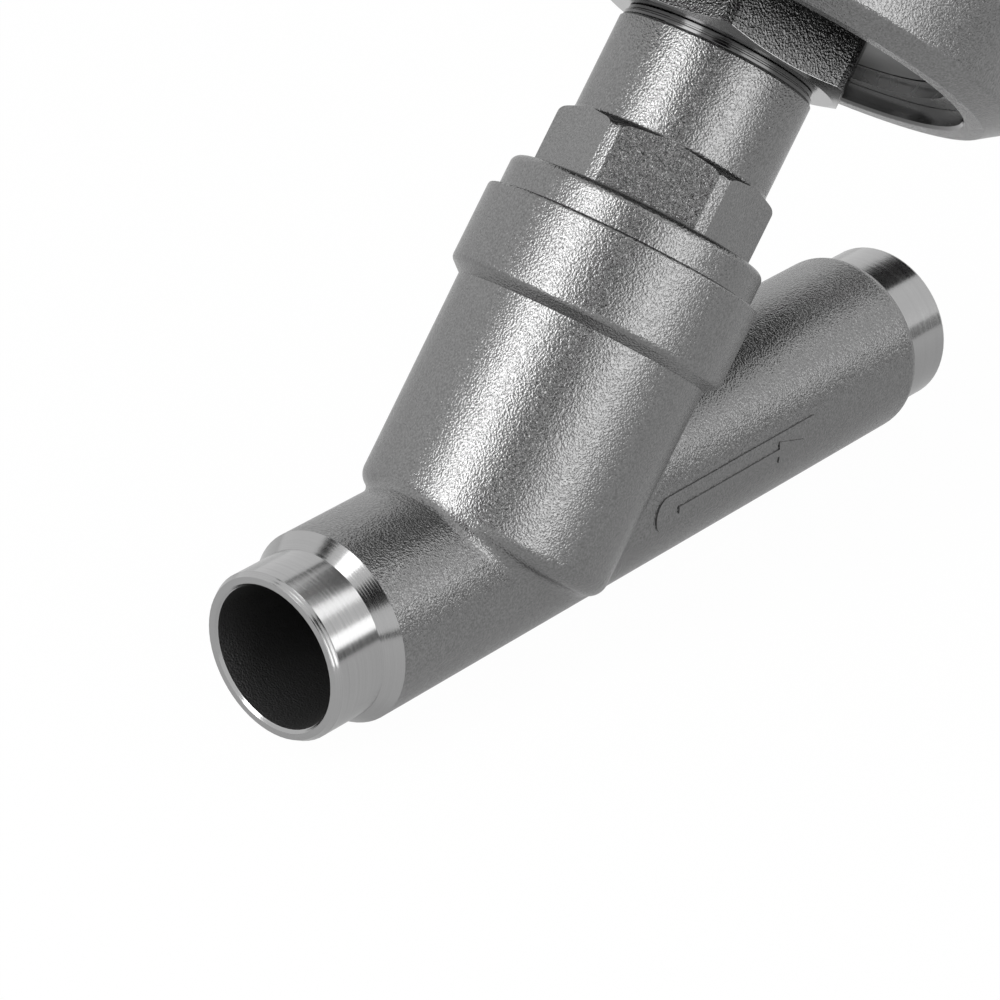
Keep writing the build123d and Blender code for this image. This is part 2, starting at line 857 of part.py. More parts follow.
def make_piston_guide_ring():
    """Slide ring that keeps metal off metal."""
    bottom = piston_bottom + guide_ring_inset + face_gap
    inner = piston_outline_radius() - guide_ring_depth
    return neck_frame * ring(inner, bore_radius - soft_clearance, bottom, bottom + guide_ring_height - 2 * face_gap)


def make_piston_nut():
    """Hexagon nut that clamps the piston on the stem."""
    return neck_frame * plain_nut(piston_nut_flats, nut_level, piston_nut_height, piston_thread_radius)


def make_outer_spring():
    """Main closing spring."""
    length = chamber_top - nut_level
    return neck_frame * spring(outer_spring_radius, outer_spring_wire, outer_spring_turns, nut_level, length)


def make_inner_spring():
    """Second closing spring inside the first."""
    length = chamber_top - nut_level
    return neck_frame * spring(inner_spring_radius, inner_spring_wire, inner_spring_turns, nut_level, length)


# ---------------------------------------------------------------- position indicator and vent
def make_indicator_rod():
    """Rod screwed on the stem's upper end, which passes through the crown."""
    socket_top = collar_level + stem_end + face_gap
    collar_top = collar_level + rod_collar_height
    end = sleeve_level + sleeve_height
    return neck_frame * turned(
        [
            (piston_thread_radius, collar_level),
            (rod_collar_radius, collar_level),
            (rod_collar_radius, collar_top),
            (rod_radius, collar_top),
            (rod_radius, sleeve_level),
            (rod_radius / 2, sleeve_level),
            (rod_radius / 2, end),
            (0, end),
            (0, socket_top),
            (piston_thread_radius, socket_top),
        ]
    )


def make_indicator_sleeve():
    """Coloured sleeve on the rod's end, which rises into view as the valve opens."""
    top = sleeve_level + sleeve_height
    return neck_frame * turned(
        [
            (rod_radius / 2, sleeve_level),
            (sleeve_radius, sleeve_level),
            (sleeve_radius, top),
            (rod_radius / 2, top),
        ],
        rounds=[(2, 0.6)],
    )


def make_indicator_cap():
    """Clear cap over the indicator, screwed on the crown's boss."""
    inside = indicator_boss_radius + cap_clearance
    bottom = boss_top - cap_skirt
    ceiling = sleeve_level + sleeve_height + lift + cap_headroom
    return neck_frame * turned(
        [
            (inside, bottom),
            (inside + cap_wall, bottom),
            (inside + cap_wall, ceiling + cap_wall),
            (0, ceiling + cap_wall),
            (0, ceiling),
            (inside - cap_wall, ceiling),
            (inside - cap_wall, boss_top),
            (inside, boss_top),
        ],
        rounds=[(2, cap_round), (5, 1.0)],
    )


def make_vent_filter():
    """Sintered silencer in the upper air port: thread, hexagon and rounded nose."""
    face = wall_radius + port_boss_reach
    hex_top = face + vent_hex_height
    nose_top = hex_top + vent_nose_length
    thread = ring(0, port_radius - fit_gap, face - vent_thread_length, face)
    body = hexagon(vent_hex_flats, vent_hex_flats / 2 / cos(radians(30)) - 0.4, face, hex_top)
    nose = turned(
        [(0, hex_top), (vent_nose_radius, hex_top), (vent_nose_radius, nose_top), (0, nose_top)],
        rounds=[(2, vent_nose_round)],
    )
    passage = ring(0, port_passage_radius, face - vent_thread_length, hex_top)
    place = port_place(chamber_top - upper_port_below_top)
    return neck_frame * place * (thread + body + nose - passage)


# ---------------------------------------------------------------- write every piece
pieces = {
    "valve_body": make_body(),
    "body_gasket": make_body_gasket(),
    "bonnet": make_bonnet(),
    "guide_bush": make_guide_bush(),
    "packing_bottom_ring": make_packing_bottom_ring(),
    "packing_chevrons": make_packing_chevrons(),
    "packing_top_ring": make_packing_top_ring(),
    "packing_spring": make_packing_spring(),
    "gland_bush": make_gland_bush(),
    "gland_orings": make_gland_orings(),
    "stem_wiper": make_stem_wiper(),
    "stem": make_stem(),
    "plug_disc": make_plug_disc(),
    "plug_seal": make_plug_seal(),
    "plug_clamp": make_plug_clamp(),
    "plug_nut": make_plug_nut(),
    "gland_ring": make_gland_ring(),
    "swivel_washer": make_swivel_washer(),
    "swivel_snap_ring": make_swivel_snap_ring(),
    "swivel_orings": make_swivel_orings(),
    "actuator_base": make_actuator_base(),
    "base_oring": make_base_oring(),
    "retaining_ring": make_retaining_ring(),
    "actuator_cylinder": make_actuator_cylinder(),
    "rod_oring": make_rod_oring(),
    "piston": make_piston(),
    "piston_seal": make_piston_seal(),
    "piston_guide_ring": make_piston_guide_ring(),
    "piston_nut": make_piston_nut(),
    "outer_spring": make_outer_spring(),
    "inner_spring": make_inner_spring(),
    "indicator_rod": make_indicator_rod(),
    "indicator_sleeve": make_indicator_sleeve(),
    "indicator_cap": make_indicator_cap(),
    "vent_filter": make_vent_filter(),
}
for name, shape in pieces.items():
    shape.label = name
    export_step(shape, f"parts/{name}.step")
    print(f"{name:22s} {shape.volume:10.1f} mm3")
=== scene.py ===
# %% [markdown]
# # An angle seat valve in stainless steel
# The valve has a straight cast body with turned weld ends, a neck that leans over the pipe, a
# screwed bonnet and the pot of a small air actuator. Every rigid piece comes ready from the CAD
# frame. This lesson gives each one the finish that a foundry, a lathe or a mould leaves behind,
# replaces the two springs that have to give way, and lights the whole like a catalogue shot.

# %% Load the frame
import math

import bmesh
import bpy
from mathutils import Matrix, Vector


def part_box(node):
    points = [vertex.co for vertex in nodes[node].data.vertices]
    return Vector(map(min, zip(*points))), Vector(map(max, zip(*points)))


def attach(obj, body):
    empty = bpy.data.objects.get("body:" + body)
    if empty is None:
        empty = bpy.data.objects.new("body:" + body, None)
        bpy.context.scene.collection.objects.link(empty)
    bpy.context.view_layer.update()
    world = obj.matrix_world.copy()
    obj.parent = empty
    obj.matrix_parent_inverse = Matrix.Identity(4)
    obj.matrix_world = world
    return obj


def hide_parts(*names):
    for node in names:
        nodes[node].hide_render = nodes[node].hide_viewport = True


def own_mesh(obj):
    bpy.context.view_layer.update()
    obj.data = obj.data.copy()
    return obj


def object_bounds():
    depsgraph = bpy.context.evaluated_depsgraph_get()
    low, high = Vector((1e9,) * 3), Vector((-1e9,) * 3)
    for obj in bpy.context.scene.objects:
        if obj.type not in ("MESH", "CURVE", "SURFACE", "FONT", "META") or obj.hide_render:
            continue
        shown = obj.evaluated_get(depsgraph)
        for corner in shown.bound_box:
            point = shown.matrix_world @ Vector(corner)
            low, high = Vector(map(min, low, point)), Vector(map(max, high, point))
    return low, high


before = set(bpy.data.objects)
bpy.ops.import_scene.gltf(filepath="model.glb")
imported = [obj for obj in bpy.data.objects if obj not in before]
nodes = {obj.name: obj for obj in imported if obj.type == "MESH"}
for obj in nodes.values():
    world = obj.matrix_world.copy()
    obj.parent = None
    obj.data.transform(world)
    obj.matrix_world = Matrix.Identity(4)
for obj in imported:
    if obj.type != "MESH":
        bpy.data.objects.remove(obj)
cad_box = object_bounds()
print("CAD nodes:", len(nodes))

# %% [markdown]
# ## Axes and levels
# The pipe runs along X from the middle of the inlet face. The neck stands on the point where its
# axis crosses the pipe's axis, and leans towards the outlet. Most finishes follow one of these two
# axes, because a lathe leaves its marks round the axis of the cut. Where a finish starts or ends is
# measured on the frame's own pieces, so that it stays right if a size changes.

# %% The two axes
MM = 0.001
neck_station = 35.1 * MM
neck_angle = math.radians(51.1)
pipe_axis = Vector((1.0, 0.0, 0.0))
neck_axis = Vector((math.cos(neck_angle), 0.0, math.sin(neck_angle)))
inlet_face = Vector((0.0, 0.0, 0.0))
neck_root = Vector((neck_station, 0.0, 0.0))
run_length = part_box("valve_body")[1].x
print("run length in mm:", round(run_length / MM, 2))


# %% Levels along the neck
def level_of(node):
    """Lowest and highest distance along the neck axis that a CAD node reaches, from its own points."""
    heights = [(vertex.co - neck_root).dot(neck_axis) for vertex in nodes[node].data.vertices]
    return min(heights), max(heights)


bonnet_shoulder = level_of("gland_ring")[0]
base_bottom = level_of("actuator_base")[0]
rim_level = level_of("actuator_cylinder")[0]
print("levels in mm:", [round(level / MM, 2) for level in (bonnet_shoulder, base_bottom, rim_level)])

# %% [markdown]
# ## Camera
# A long lens from a hand's height gives the flat, exact look of a product picture. The camera is
# described by the point it looks at, its distance and three angles, which is easier to read than a
# matrix. The roll is the small tilt of a camera that isn't quite level.

# %% Camera
look_at = neck_root + Vector((4.3, 0.0, 4.7)) * MM
distance = 477.3 * MM
azimuth = math.radians(-49.55)
elevation = math.radians(30.73)
roll = math.radians(2.31)

camera_data = bpy.data.cameras.new("camera")
camera_data.lens = 141.9
camera_data.sensor_width = 36.0
camera_data.clip_start = 0.02
camera_data.clip_end = 20.0
camera = bpy.data.objects.new("camera", camera_data)
bpy.context.scene.collection.objects.link(camera)
bpy.context.scene.camera = camera

# %% Where the camera stands
away = math.cos(elevation)
towards_camera = Vector((math.sin(azimuth) * away, -math.cos(azimuth) * away, math.sin(elevation)))
camera.location = look_at + towards_camera * distance
camera.rotation_mode = "QUATERNION"
level_turn = (-towards_camera).to_track_quat("-Z", "Y")
camera.rotation_quaternion = level_turn @ Matrix.Rotation(roll, 3, "Z").to_quaternion()
print("camera at", [round(v, 4) for v in camera.location])

# %% [markdown]
# ## Wiring nodes
# A material in code is a chain of nodes, and most of its lines would only make and link them. A few
# small helpers do that: each one makes a node, feeds its sockets and gives back its output, so that a
# recipe reads from top to bottom like a formula. A value may be a number or another node's output.


# %% Sockets and sums
def feed(tree, socket, value):
    """Sets a socket, or links it where the value is another socket."""
    if isinstance(value, bpy.types.NodeSocket):
        tree.links.new(value, socket)
    else:
        socket.default_value = value


def math_node(tree, operation, *values, clamp=False):
    """A Math node; returns its output."""
    node = tree.nodes.new("ShaderNodeMath")
    node.operation = operation
    node.use_clamp = clamp
    for socket, value in zip(node.inputs, values):
        feed(tree, socket, value)
    return node.outputs[0]


def spread(tree, value, low, high, out_low=0.0, out_high=1.0):
    """Map Range with clamping; returns the result."""
    node = tree.nodes.new("ShaderNodeMapRange")
    for socket, given in zip(node.inputs, (value, low, high, out_low, out_high)):
        feed(tree, socket, given)
    return node.outputs[0]


def vary(tree, value, middle, swing, reach=0.2):
    """Middle plus or minus the swing, as a noise goes from 0.5 - reach to 0.5 + reach."""
    return spread(tree, value, 0.5 - reach, 0.5 + reach, middle - swing, middle + swing)


# %% Noise and bump
def noise(tree, vector, scale, detail=2.0, roughness=0.5):
    """A 3D noise; returns its value."""
    node = tree.nodes.new("ShaderNodeTexNoise")
    feed(tree, node.inputs["Vector"], vector)
    feed(tree, node.inputs["Scale"], scale)
    feed(tree, node.inputs["Detail"], detail)
    feed(tree, node.inputs["Roughness"], roughness)
    return node.outputs["Fac"]


def bump(tree, height, distance, normal=None):
    """Bump node; distance is in metres of height. Returns the normal."""
    node = tree.nodes.new("ShaderNodeBump")
    feed(tree, node.inputs["Distance"], distance)
    feed(tree, node.inputs["Height"], height)
    if normal is not None:
        feed(tree, node.inputs["Normal"], normal)
    return node.outputs["Normal"]


# %% Mixing
mix_sockets = {"FLOAT": (2, 3, 0), "VECTOR": (4, 5, 1), "RGBA": (6, 7, 2)}


def mix(tree, kind, factor, a, b):
    """a where the factor is 0 and b where it is 1; kind is FLOAT, VECTOR or RGBA."""
    node = tree.nodes.new("ShaderNodeMix")
    node.data_type = kind
    first, second, result = mix_sockets[kind]
    feed(tree, node.inputs[0], factor)
    feed(tree, node.inputs[first], a)
    feed(tree, node.inputs[second], b)
    return node.outputs[result]


def grey(value):
    """Opaque neutral colour."""
    return (value, value, value, 1.0)


def shade(colour, share):
    """A colour made darker or lighter by a share, and still opaque."""
    return tuple(min(1.0, part * share) for part in colour[:3]) + (1.0,)


# %% [markdown]
# ## Effects that come back
# Two effects come back in several finishes: the skin of an investment casting and the rings that a
# lathe tool leaves. Each one is a node group with named inputs and outputs, built once and placed in
# every material that needs it. Copying the nodes would work too, but then a better dent would have
# to be made again in four places.


# %% New group
def new_group(name, inputs, outputs):
    """An empty shader group with named sockets; an input is (name, kind, default)."""
    group = bpy.data.node_groups.new(name, "ShaderNodeTree")
    for label, kind, default in inputs:
        socket = group.interface.new_socket(label, in_out="INPUT", socket_type=kind)
        if default is not None:
            socket.default_value = default
    for label, kind in outputs:
        group.interface.new_socket(label, in_out="OUTPUT", socket_type=kind)
    start = group.nodes.new("NodeGroupInput")
    end = group.nodes.new("NodeGroupOutput")
    return group, start, end


# %% [markdown]
# ** Cast skin.** A wax-cast surface that has been blasted with beads is a field of tiny dents, a few
# tenths of a millimetre across, over slightly larger lumps. All of it is height: the sparkle comes
# from facets that catch a lamp or miss it. Two noises of different size feed two bumps, one on top of
# the other. The group also gives out the dents and the lumps, so that a material can let its roughness
# follow them a little, and its colour too, which paints shade into the dents.

# %% Cast skin
dent_size = 0.26 * MM
dent_depth = 0.085 * MM
lump_depth = 0.03 * MM
lumps_per_dent = 0.35
skin_detail = 1.0


def make_cast_skin():
    group, start, end = new_group(
        "cast_skin",
        [
            ("Vector", "NodeSocketVector", None),
            ("Dent size", "NodeSocketFloat", dent_size),
            ("Dent depth", "NodeSocketFloat", dent_depth),
            ("Lump depth", "NodeSocketFloat", lump_depth),
        ],
        [("Normal", "NodeSocketVector"), ("Dents", "NodeSocketFloat"), ("Lumps", "NodeSocketFloat")],
    )
    place = start.outputs["Vector"]
    dent_scale = math_node(group, "DIVIDE", 1.0, start.outputs["Dent size"])
    lump_scale = math_node(group, "MULTIPLY", dent_scale, lumps_per_dent)
    dents = noise(group, place, dent_scale, skin_detail)
    lumps = noise(group, place, lump_scale, skin_detail)
    lump_normal = bump(group, lumps, start.outputs["Lump depth"])
    normal = bump(group, dents, start.outputs["Dent depth"], lump_normal)
    group.links.new(normal, end.inputs["Normal"])
    group.links.new(dents, end.inputs["Dents"])
    group.links.new(lumps, end.inputs["Lumps"])
    return group


cast_skin = make_cast_skin()
print(cast_skin.name, "holds", len(cast_skin.nodes), "nodes")

# %% [markdown]
# **Turning rings.** A lathe tool cuts one fine spiral round the axis, so its marks depend only on the
# distance along the axis and the distance from it. Noise that reads just those two numbers gives
# rings on a face and lines round a cylinder, and they can't break or fork. A coarse cut adds one even
# groove for each turn of the work. Scratches drawn as an image would stretch on cones and bevels.


# %% Distance from an axis and along it
def radius_and_level(tree, vector):
    """Distance from the Z axis and distance along it."""
    split = tree.nodes.new("ShaderNodeSeparateXYZ")
    tree.links.new(vector, split.inputs[0])
    squares = [math_node(tree, "POWER", split.outputs[i], 2.0) for i in (0, 1)]
    return math_node(tree, "SQRT", math_node(tree, "ADD", *squares)), split.outputs[2]


# %% Turning rings
groove_pitch = 0.2 * MM
coarse_share = 0.17
coarse_weight = 2.0


def make_turning_rings():
    group, start, end = new_group(
        "turning_rings",
        [
            ("Vector", "NodeSocketVector", None),
            ("Feed", "NodeSocketFloat", 0.12 * MM),
            ("Depth", "NodeSocketFloat", 0.006 * MM),
            ("Groove pitch", "NodeSocketFloat", groove_pitch),
            ("Groove depth", "NodeSocketFloat", 0.0),
        ],
        [("Normal", "NodeSocketVector"), ("Lines", "NodeSocketFloat")],
    )
    radius, level = radius_and_level(group, start.outputs["Vector"])
    profile = group.nodes.new("ShaderNodeCombineXYZ")
    group.links.new(radius, profile.inputs[0])
    group.links.new(level, profile.inputs[2])
    place = profile.outputs[0]
    scale = math_node(group, "DIVIDE", 1.0, start.outputs["Feed"])
    fine = noise(group, place, scale, roughness=0.6)
    coarse = noise(group, place, math_node(group, "MULTIPLY", scale, coarse_share))
    height = math_node(group, "ADD", fine, math_node(group, "MULTIPLY", coarse, coarse_weight))
    turns = math_node(group, "DIVIDE", radius, start.outputs["Groove pitch"])
    grooves = math_node(group, "SINE", math_node(group, "MULTIPLY", turns, 2.0 * math.pi))
    groove_normal = bump(group, grooves, start.outputs["Groove depth"])
    normal = bump(group, height, start.outputs["Depth"], groove_normal)
    group.links.new(normal, end.inputs["Normal"])
    group.links.new(fine, end.inputs["Lines"])
    return group


turning_rings = make_turning_rings()
print(turning_rings.name, "holds", len(turning_rings.nodes), "nodes")

# %% [markdown]
# ## Starting a material
# Every finish starts in the same way: a Principled shader, the piece's own coordinates in metres, and
# perhaps a group. Object coordinates are used and nothing is unwrapped, because a casting has no
# seams and the pattern has to keep one scale over all pieces. A Mapping node turns the coordinates so
# that Z runs along the axis that the piece was turned about.


# %% New material
def new_material(name, metallic=1.0, roughness=0.4, colour=grey(0.3)):
    """A material with its Principled shader; returns material, tree and shader."""
    material = bpy.data.materials.new(name)
    material.use_nodes = True
    tree = material.node_tree
    shader = tree.nodes["Principled BSDF"]
    shader.inputs["Metallic"].default_value = metallic
    shader.inputs["Roughness"].default_value = roughness
    shader.inputs["Base Color"].default_value = colour
    return material, tree, shader


def place_group(tree, group, vector, **values):
    """Adds a group to a material and sets its inputs by name, with _ for a space."""
    node = tree.nodes.new("ShaderNodeGroup")
    node.node_tree = group
    tree.links.new(vector, node.inputs["Vector"])
    for label, value in values.items():
        feed(tree, node.inputs[label.replace("_", " ")], value)
    return node


# %% Coordinates
def object_place(tree):
    """The piece's own coordinates, in metres."""
    return tree.nodes.new("ShaderNodeTexCoord").outputs["Object"]


def along_axis(tree, axis, origin):
    """Object coordinates turned so that Z runs along the axis from the origin."""
    mapping = tree.nodes.new("ShaderNodeMapping")
    mapping.vector_type = "TEXTURE"
    mapping.inputs["Location"].default_value = origin
    mapping.inputs["Rotation"].default_value = axis.to_track_quat("Z", "Y").to_euler()
    tree.links.new(object_place(tree), mapping.inputs["Vector"])
    return mapping.outputs["Vector"]


# %% [markdown]
# ## Cast stainless steel
# The body, bonnet, base and pot share one skin, and each has places that a lathe has been over
# afterwards: weld ends, bores, joint faces. One material therefore holds both finishes and a mask
# between them. The mask is worked out from the distance along an axis and from it, so the border is
# as sharp as the tool's own, and the mesh needs no extra faces. Two materials on one mesh would need
# a cut along every border.


# %% Masks
def below(tree, value, limit):
    """1 where the value is under the limit."""
    return math_node(tree, "LESS_THAN", value, limit)


def above(tree, value, limit):
    """1 where the value is over the limit."""
    return math_node(tree, "GREATER_THAN", value, limit)


def both(tree, a, b):
    """1 where both masks are 1."""
    return math_node(tree, "MULTIPLY", a, b)


def either(tree, a, b):
    """1 where one of the masks is 1."""
    return math_node(tree, "MAXIMUM", a, b)


# %% Steel that is cast and partly turned
cast_grey = 0.215
cast_roughness = 0.21
turned_grey = 0.39
turned_roughness = 0.16
fine_cut = 0.005 * MM
coarse_cut = 0.0022 * MM
mask_edge = 0.02 * MM


def masked(tree, turned, painted_shade_mask, values):
    """One of three values: for cast skin, for turned steel and for the places painted dark as shade."""
    cast_value, turned_value, painted_shade_value = values
    return mix(tree, "FLOAT", painted_shade_mask, mix(tree, "FLOAT", turned, cast_value, turned_value), painted_shade_value)


def cast_and_turned(name, axis, origin, find_masks, painted_shade_grey=0.1, dark_rough=0.5, cast=cast_grey):
    """Cast steel with turned places; find_masks gives the masks for turned, coarsely cut and painted shade.
    """
    material, tree, shader = new_material(name)
    skin = place_group(tree, cast_skin, object_place(tree))
    place = along_axis(tree, axis, origin)
    turned, coarse, painted_shade_mask = find_masks(tree, *radius_and_level(tree, place))
    grooves = spread(tree, coarse, 0.0, 1.0, 0.0, coarse_cut)
    rings = place_group(tree, turning_rings, place, Depth=fine_cut, Groove_depth=grooves)
    lines = rings.outputs["Lines"]
    # The cast grey is painted darker in the dents and lighter on the rises between them: painted shade in
    # the pits.
    cast_colour = vary(tree, skin.outputs["Dents"], cast, 0.2 * cast)
    turned_colour = vary(tree, lines, turned_grey, 0.05 * turned_grey)
    cast_rough = vary(tree, skin.outputs["Lumps"], cast_roughness, 0.02, reach=0.15)
    turned_rough = vary(tree, lines, turned_roughness, 0.03)
    paint = tree.nodes.new("ShaderNodeCombineColor")
    # The third value is painted shade: a darker grey wherever the shade mask is 1.
    colour = masked(tree, turned, painted_shade_mask, (cast_colour, turned_colour, painted_shade_grey))
    for socket in paint.inputs:
        tree.links.new(colour, socket)
    rough = masked(tree, turned, painted_shade_mask, (cast_rough, turned_rough, dark_rough))
    normal = mix(tree, "VECTOR", turned, skin.outputs["Normal"], rings.outputs["Normal"])
    tree.links.new(paint.outputs[0], shader.inputs["Base Color"])
    tree.links.new(rough, shader.inputs["Roughness"])
    tree.links.new(normal, shader.inputs["Normal"])
    print(name, "holds", len(tree.nodes), "nodes")
    return material


# %% [markdown]
# ** Body.** The inlet's stub and shoulder are turned, and the outlet's stub only as far as its cast
# shoulder. The bevel and the shoulder are cut with a coarser feed, so their rings show. The bore keeps
# its cast skin, painted a darker grey as shade in the hole, apart from the edge that the facing tool
# has reached. All of this depends on the pipe's axis, so the masks read the distance along X and the
# distance from it.

# %% Body
stub_end = 9.6 * MM
shoulder_start = 7.4 * MM
bevel_end = 0.85 * MM
outlet_stub = 7.5 * MM
bore_radius = 9.15 * MM
edge_width = 0.36 * MM


def body_masks(tree, radius, level):
    inlet = below(tree, level, stub_end)
    outlet = above(tree, level, run_length - outlet_stub)
    turned = either(tree, inlet, outlet)
    shoulder = both(tree, above(tree, level, shoulder_start), inlet)
    bevel = both(tree, below(tree, level, bevel_end), above(tree, level, mask_edge))
    coarse = either(tree, shoulder, bevel)
    inner = both(tree, above(tree, level, edge_width), below(tree, level, run_length - edge_width))
    bore = both(tree, below(tree, radius, bore_radius), inner)
    return math_node(tree, "SUBTRACT", turned, bore, clamp=True), coarse, bore


# The bore's darker grey of 0.15 is painted shade in the hole.
body_steel = cast_and_turned("body_steel", pipe_axis, inlet_face, body_masks, painted_shade_grey=0.15)

# %% [markdown]
# ** Bonnet.** Only its flange, hexagon and tube keep the cast skin. The spigot above the shoulder and
# the screwed end inside the neck are turned, so two levels along the neck's axis are all that the
# mask needs. Nothing on it is painted darker as shade.

# %% Bonnet
cast_height = 25.35 * MM
joint_edge = 0.01 * MM


def bonnet_masks(tree, radius, level):
    spigot = above(tree, level, bonnet_shoulder - joint_edge)
    screwed = below(tree, level, bonnet_shoulder - cast_height + joint_edge)
    return either(tree, spigot, screwed), 0.0, 0.0


bonnet_steel = cast_and_turned("bonnet_steel", neck_axis, neck_root, bonnet_masks)

# %% [markdown]
# ** Base.** The actuator's lower hexagon is cast, and a lathe has chamfered its corners and faced the
# end plate above it. The chamfer is a shallow cone, so its mask compares the level with a line that
# rises with the radius. The plate sits deep in the mouth of the pot and mirrors its dark inside, so
# its darker grey is painted shade and painted reflection. The whole cast skin of the base is painted
# darker than the other castings too, as painted shade under the overhanging rim of the pot.

# %% Base
chamfer_slope = 0.3256
chamfer_edge = 0.04 * MM
hex_face_radius = 15.0 * MM
hex_height = 8.9 * MM
# A darker cast grey for the base: painted shade under the overhanging rim of the pot.
shaded_base_grey = 0.125


def base_masks(tree, radius, level):
    rise = math_node(tree, "MULTIPLY", math_node(tree, "SUBTRACT", radius, hex_face_radius), chamfer_slope)
    cone = math_node(tree, "ADD", math_node(tree, "MAXIMUM", rise, 0.0), base_bottom + chamfer_edge)
    plate = above(tree, level, base_bottom + hex_height - mask_edge)
    return either(tree, below(tree, level, cone), plate), 0.0, plate


# The plate's grey of 0.13 is painted shade and painted reflection of the pot's dark inside.
base_steel = cast_and_turned("base_steel", neck_axis, neck_root, base_masks, 0.13, 0.3, shaded_base_grey)

# %% [markdown]
# ** Pot.** The actuator's cylinder is cast, with a bore that has been turned and honed smooth. Its
# dark grey is painted shade and painted reflection, because what it mirrors is mostly itself. The
# faces of the two port bosses are turned too, and lie further out than anything else on the pot, so
# one radius finds them.

# %% Pot
pot_bore = 31.75 * MM
pot_depth = 62.3 * MM
rim_edge = 0.1 * MM
boss_face = 41.98 * MM


def pot_masks(tree, radius, level):
    above_rim = above(tree, level, rim_level + rim_edge)
    under_crown = below(tree, level, rim_level + pot_depth)
    inside = both(tree, below(tree, radius, pot_bore), both(tree, above_rim, under_crown))
    return either(tree, inside, above(tree, radius, boss_face)), 0.0, inside


# The pot bore's dark grey of 0.14 is painted shade and painted reflection.
pot_steel = cast_and_turned("pot_steel", neck_axis, neck_root, pot_masks, 0.14, 0.1)

# %% [markdown]
# **Turned bar.** The stem, the plug, the nuts and the gland ring are cut from bar, and so are the
# bronze bushes and the aluminium piston. Only their colour and the fineness of the cut differ, so one
# function makes them all. A plain roughness would look like moulded plastic painted grey: the rings
# move the highlight a little from turn to turn, and that is what the eye reads as turned metal.


# %% Turned bar
def turned_metal(name, colour=grey(0.33), roughness=0.2, feed_mm=0.12, depth_mm=0.002):
    material, tree, shader = new_material(name, roughness=roughness, colour=colour)
    place = along_axis(tree, neck_axis, neck_root)
    rings = place_group(tree, turning_rings, place, Feed=feed_mm * MM, Depth=depth_mm * MM)
    lines = rings.outputs["Lines"]
    paint = mix(tree, "RGBA", lines, shade(colour, 0.92), shade(colour, 1.08))
    tree.links.new(rings.outputs["Normal"], shader.inputs["Normal"])
    tree.links.new(vary(tree, lines, roughness, 0.2 * roughness), shader.inputs["Roughness"])
    tree.links.new(paint, shader.inputs["Base Color"])
    return material


stem_steel = turned_metal("stem_steel", roughness=0.14, feed_mm=0.1, depth_mm=0.0008)
bar_steel = turned_metal("bar_steel")
ring_steel = turned_metal("ring_steel", grey(0.1), roughness=0.15, feed_mm=0.1, depth_mm=0.0001)
piston_metal = turned_metal("piston_aluminium", (0.6, 0.6, 0.61, 1.0), roughness=0.28, depth_mm=0.003)
bush_bronze = turned_metal("bush_bronze", (0.55, 0.36, 0.17, 1.0), roughness=0.25)
turned_finishes = (stem_steel, bar_steel, ring_steel, piston_metal, bush_bronze)
print("turned finishes:", [finish.name for finish in turned_finishes])

# %% [markdown]
# **Seals and plastics.** O-rings, lip seal, packing and the orange sleeve come out of a mould. They
# aren't metal, and a mould leaves a faint haze: a fine noise drives both the bump and the roughness,
# and a broad one lets the colour drift, as it does in real PTFE and rubber.

# %% Moulded pieces
cloud_share = 0.08


def moulded(name, colour, roughness, grain_mm=0.3, depth_mm=0.004):
    """Plastic or rubber with the faint haze of its mould."""
    material, tree, shader = new_material(name, metallic=0.0, roughness=roughness, colour=colour)
    place = object_place(tree)
    haze = noise(tree, place, 1.0 / (grain_mm * MM))
    cloud = noise(tree, place, cloud_share / (grain_mm * MM))
    paint = mix(tree, "RGBA", cloud, shade(colour, 0.9), shade(colour, 1.06))
    tree.links.new(bump(tree, haze, depth_mm * MM), shader.inputs["Normal"])
    tree.links.new(vary(tree, haze, roughness, 0.15 * roughness), shader.inputs["Roughness"])
    tree.links.new(paint, shader.inputs["Base Color"])
    return material


ptfe = moulded("ptfe", (0.82, 0.82, 0.8, 1.0), 0.45)
black_rubber = moulded("black_rubber", (0.018, 0.018, 0.018, 1.0), 0.5, 0.25, 0.006)
orange_plastic = moulded("orange_plastic", (0.78, 0.2, 0.02, 1.0), 0.35)
print("moulded finishes:", [finish.name for finish in (ptfe, black_rubber, orange_plastic)])

# %% [markdown]
# **Drawn wire.** Springs and retaining rings are wound or bent from wire that was drawn through a die
# and oiled afterwards. The die leaves fine scratches and the oil leaves stains a few millimetres
# across. The scratches are bump only, and the stains change colour and roughness.

# %% Drawn wire
scratch_size = 0.18 * MM
scratch_depth = 0.003 * MM
stain_size = 3.0 * MM


def drawn_wire(name, tone, roughness):
    material, tree, shader = new_material(name, roughness=roughness, colour=grey(tone))
    place = object_place(tree)
    scratches = noise(tree, place, 1.0 / scratch_size, detail=3.0, roughness=0.6)
    stains = noise(tree, place, 1.0 / stain_size)
    paint = mix(tree, "RGBA", stains, grey(tone * 0.8), grey(tone * 1.2))
    tree.links.new(bump(tree, scratches, scratch_depth), shader.inputs["Normal"])
    tree.links.new(paint, shader.inputs["Base Color"])
    tree.links.new(vary(tree, stains, roughness, 0.05), shader.inputs["Roughness"])
    return material


wire_steel = drawn_wire("wire_steel", tone=0.26, roughness=0.3)
bright_spring = drawn_wire("bright_spring", tone=0.36, roughness=0.25)
print("wire finishes:", [finish.name for finish in (wire_steel, bright_spring)])

# %% [markdown]
# ** Sintered vent.** The filter in the upper port is pressed and baked from small brass balls. A
# Voronoi texture has just that look: the distance to the nearest point makes a dome over every ball,
# and the same distance darkens the gaps between them as painted shade. Modelled balls would cost
# thousands of faces.

# %% Sintered brass
ball_size = 0.32 * MM
ball_height = 0.06 * MM


